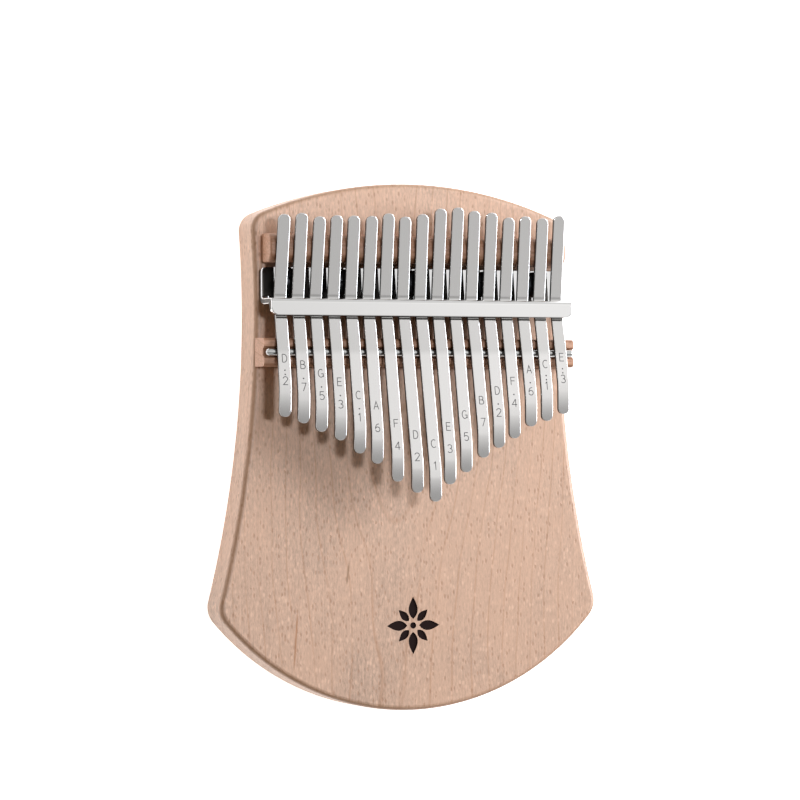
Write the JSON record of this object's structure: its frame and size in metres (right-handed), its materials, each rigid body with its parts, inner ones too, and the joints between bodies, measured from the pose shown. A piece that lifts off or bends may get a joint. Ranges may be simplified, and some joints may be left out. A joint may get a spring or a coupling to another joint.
{
  "type": "mbira",
  "caption": "Thumb piano: a waisted solid wooden plate with two wooden bridges, a folded steel bracket and a row of sprung steel tines, longest in the middle.",
  "frame": {"origin": "under the middle of the wooden plate, on the surface that it lies on", "axes": "+Z out of the played face, +Y along the plate towards the tines' clamped ends, +X to the right as seen from above with +Y away; the player is at -Y"},
  "size_m": [0.1398, 0.18, 0.0328],
  "materials": {
    "maple": "satin lacquer over pale, fine-grained wood",
    "bridge_wood": "satin, darker pinkish brown wood",
    "chrome": "bright plated steel",
    "spring_steel": "satin ground spring steel",
    "black_steel": "blackened steel"
  },
  "bodies": {
    "instrument": {"body_plate": "maple", "rear_bridge": "bridge_wood", "front_bridge": "bridge_wood", "front_rod": "chrome", "tine_bracket": "chrome", "bracket_screw_1": "black_steel", "bracket_screw_2": "black_steel", "bracket_screw_3": "black_steel", "bracket_screw_4": "black_steel", "bracket_screw_5": "black_steel"},
    "tine_01_shank": {"tine_01_shank": "spring_steel"},
    "tine_01_tongue": {"tine_01_tongue": "spring_steel"},
    "tine_02_shank": {"tine_02_shank": "spring_steel"},
    "tine_02_tongue": {"tine_02_tongue": "spring_steel"},
    "tine_03_shank": {"tine_03_shank": "spring_steel"},
    "tine_03_tongue": {"tine_03_tongue": "spring_steel"},
    "tine_04_shank": {"tine_04_shank": "spring_steel"},
    "tine_04_tongue": {"tine_04_tongue": "spring_steel"},
    "tine_05_shank": {"tine_05_shank": "spring_steel"},
    "tine_05_tongue": {"tine_05_tongue": "spring_steel"},
    "tine_06_shank": {"tine_06_shank": "spring_steel"},
    "tine_06_tongue": {"tine_06_tongue": "spring_steel"},
    "tine_07_shank": {"tine_07_shank": "spring_steel"},
    "tine_07_tongue": {"tine_07_tongue": "spring_steel"},
    "tine_08_shank": {"tine_08_shank": "spring_steel"},
    "tine_08_tongue": {"tine_08_tongue": "spring_steel"},
    "tine_09_shank": {"tine_09_shank": "spring_steel"},
    "tine_09_tongue": {"tine_09_tongue": "spring_steel"},
    "tine_10_shank": {"tine_10_shank": "spring_steel"},
    "tine_10_tongue": {"tine_10_tongue": "spring_steel"},
    "tine_11_shank": {"tine_11_shank": "spring_steel"},
    "tine_11_tongue": {"tine_11_tongue": "spring_steel"},
    "tine_12_shank": {"tine_12_shank": "spring_steel"},
    "tine_12_tongue": {"tine_12_tongue": "spring_steel"},
    "tine_13_shank": {"tine_13_shank": "spring_steel"},
    "tine_13_tongue": {"tine_13_tongue": "spring_steel"},
    "tine_14_shank": {"tine_14_shank": "spring_steel"},
    "tine_14_tongue": {"tine_14_tongue": "spring_steel"},
    "tine_15_shank": {"tine_15_shank": "spring_steel"},
    "tine_15_tongue": {"tine_15_tongue": "spring_steel"},
    "tine_16_shank": {"tine_16_shank": "spring_steel"},
    "tine_16_tongue": {"tine_16_tongue": "spring_steel"},
    "tine_17_shank": {"tine_17_shank": "spring_steel"},
    "tine_17_tongue": {"tine_17_tongue": "spring_steel"}
  },
  "joints": [
    {"name": "tine_01_bend", "type": "hinge", "parent": "tine_01_shank", "child": "tine_01_tongue", "pos_m": [-0.0512, 0.032, 0.02505], "axis": [1, 0, 0], "range_deg": [-1.5, 3], "stiffness_Nm_per_rad": 12.9},
    {"name": "tine_02_bend", "type": "hinge", "parent": "tine_02_shank", "child": "tine_02_tongue", "pos_m": [-0.0448, 0.032, 0.02505], "axis": [1, 0, 0], "range_deg": [-1.5, 3], "stiffness_Nm_per_rad": 11.7},
    {"name": "tine_03_bend", "type": "hinge", "parent": "tine_03_shank", "child": "tine_03_tongue", "pos_m": [-0.0384, 0.032, 0.02505], "axis": [1, 0, 0], "range_deg": [-1.5, 3], "stiffness_Nm_per_rad": 10.5},
    {"name": "tine_04_bend", "type": "hinge", "parent": "tine_04_shank", "child": "tine_04_tongue", "pos_m": [-0.032, 0.032, 0.02505], "axis": [1, 0, 0], "range_deg": [-1.5, 3], "stiffness_Nm_per_rad": 9.5},
    {"name": "tine_05_bend", "type": "hinge", "parent": "tine_05_shank", "child": "tine_05_tongue", "pos_m": [-0.0256, 0.032, 0.02505], "axis": [1, 0, 0], "range_deg": [-1.5, 3], "stiffness_Nm_per_rad": 8.2},
    {"name": "tine_06_bend", "type": "hinge", "parent": "tine_06_shank", "child": "tine_06_tongue", "pos_m": [-0.0192, 0.032, 0.02505], "axis": [1, 0, 0], "range_deg": [-1.5, 3], "stiffness_Nm_per_rad": 7.5},
    {"name": "tine_07_bend", "type": "hinge", "parent": "tine_07_shank", "child": "tine_07_tongue", "pos_m": [-0.0128, 0.032, 0.02505], "axis": [1, 0, 0], "range_deg": [-1.5, 3], "stiffness_Nm_per_rad": 6.4},
    {"name": "tine_08_bend", "type": "hinge", "parent": "tine_08_shank", "child": "tine_08_tongue", "pos_m": [-0.0064, 0.032, 0.02505], "axis": [1, 0, 0], "range_deg": [-1.5, 3], "stiffness_Nm_per_rad": 5.9},
    {"name": "tine_09_bend", "type": "hinge", "parent": "tine_09_shank", "child": "tine_09_tongue", "pos_m": [0, 0.032, 0.02505], "axis": [1, 0, 0], "range_deg": [-1.5, 3], "stiffness_Nm_per_rad": 5.6},
    {"name": "tine_10_bend", "type": "hinge", "parent": "tine_10_shank", "child": "tine_10_tongue", "pos_m": [0.0064, 0.032, 0.02505], "axis": [1, 0, 0], "range_deg": [-1.5, 3], "stiffness_Nm_per_rad": 6.3},
    {"name": "tine_11_bend", "type": "hinge", "parent": "tine_11_shank", "child": "tine_11_tongue", "pos_m": [0.0128, 0.032, 0.02505], "axis": [1, 0, 0], "range_deg": [-1.5, 3], "stiffness_Nm_per_rad": 6.9},
    {"name": "tine_12_bend", "type": "hinge", "parent": "tine_12_shank", "child": "tine_12_tongue", "pos_m": [0.0192, 0.032, 0.02505], "axis": [1, 0, 0], "range_deg": [-1.5, 3], "stiffness_Nm_per_rad": 7.8},
    {"name": "tine_13_bend", "type": "hinge", "parent": "tine_13_shank", "child": "tine_13_tongue", "pos_m": [0.0256, 0.032, 0.02505], "axis": [1, 0, 0], "range_deg": [-1.5, 3], "stiffness_Nm_per_rad": 8.6},
    {"name": "tine_14_bend", "type": "hinge", "parent": "tine_14_shank", "child": "tine_14_tongue", "pos_m": [0.032, 0.032, 0.02505], "axis": [1, 0, 0], "range_deg": [-1.5, 3], "stiffness_Nm_per_rad": 9.6},
    {"name": "tine_15_bend", "type": "hinge", "parent": "tine_15_shank", "child": "tine_15_tongue", "pos_m": [0.0384, 0.032, 0.02505], "axis": [1, 0, 0], "range_deg": [-1.5, 3], "stiffness_Nm_per_rad": 11.1},
    {"name": "tine_16_bend", "type": "hinge", "parent": "tine_16_shank", "child": "tine_16_tongue", "pos_m": [0.0448, 0.032, 0.02505], "axis": [1, 0, 0], "range_deg": [-1.5, 3], "stiffness_Nm_per_rad": 12},
    {"name": "tine_17_bend", "type": "hinge", "parent": "tine_17_shank", "child": "tine_17_tongue", "pos_m": [0.0512, 0.032, 0.02505], "axis": [1, 0, 0], "range_deg": [-1.5, 3], "stiffness_Nm_per_rad": 13.4},
    {"name": "tine_01_tune", "type": "slide", "parent": "instrument", "child": "tine_01_shank", "axis": [0, 1, 0], "range_m": [-0.001, 0.001]},
    {"name": "tine_02_tune", "type": "slide", "parent": "instrument", "child": "tine_02_shank", "axis": [0, 1, 0], "range_m": [-0.001, 0.001]},
    {"name": "tine_03_tune", "type": "slide", "parent": "instrument", "child": "tine_03_shank", "axis": [0, 1, 0], "range_m": [-0.001, 0.001]},
    {"name": "tine_04_tune", "type": "slide", "parent": "instrument", "child": "tine_04_shank", "axis": [0, 1, 0], "range_m": [-0.001, 0.001]},
    {"name": "tine_05_tune", "type": "slide", "parent": "instrument", "child": "tine_05_shank", "axis": [0, 1, 0], "range_m": [-0.001, 0.001]},
    {"name": "tine_06_tune", "type": "slide", "parent": "instrument", "child": "tine_06_shank", "axis": [0, 1, 0], "range_m": [-0.001, 0.001]},
    {"name": "tine_07_tune", "type": "slide", "parent": "instrument", "child": "tine_07_shank", "axis": [0, 1, 0], "range_m": [-0.001, 0.001]},
    {"name": "tine_08_tune", "type": "slide", "parent": "instrument", "child": "tine_08_shank", "axis": [0, 1, 0], "range_m": [-0.001, 0.001]},
    {"name": "tine_09_tune", "type": "slide", "parent": "instrument", "child": "tine_09_shank", "axis": [0, 1, 0], "range_m": [-0.001, 0.001]},
    {"name": "tine_10_tune", "type": "slide", "parent": "instrument", "child": "tine_10_shank", "axis": [0, 1, 0], "range_m": [-0.001, 0.001]},
    {"name": "tine_11_tune", "type": "slide", "parent": "instrument", "child": "tine_11_shank", "axis": [0, 1, 0], "range_m": [-0.001, 0.001]},
    {"name": "tine_12_tune", "type": "slide", "parent": "instrument", "child": "tine_12_shank", "axis": [0, 1, 0], "range_m": [-0.001, 0.001]},
    {"name": "tine_13_tune", "type": "slide", "parent": "instrument", "child": "tine_13_shank", "axis": [0, 1, 0], "range_m": [-0.001, 0.001]},
    {"name": "tine_14_tune", "type": "slide", "parent": "instrument", "child": "tine_14_shank", "axis": [0, 1, 0], "range_m": [-0.001, 0.001]},
    {"name": "tine_15_tune", "type": "slide", "parent": "instrument", "child": "tine_15_shank", "axis": [0, 1, 0], "range_m": [-0.001, 0.001]},
    {"name": "tine_16_tune", "type": "slide", "parent": "instrument", "child": "tine_16_shank", "axis": [0, 1, 0], "range_m": [-0.001, 0.001]},
    {"name": "tine_17_tune", "type": "slide", "parent": "instrument", "child": "tine_17_shank", "axis": [0, 1, 0], "range_m": [-0.001, 0.001]}
  ]
}
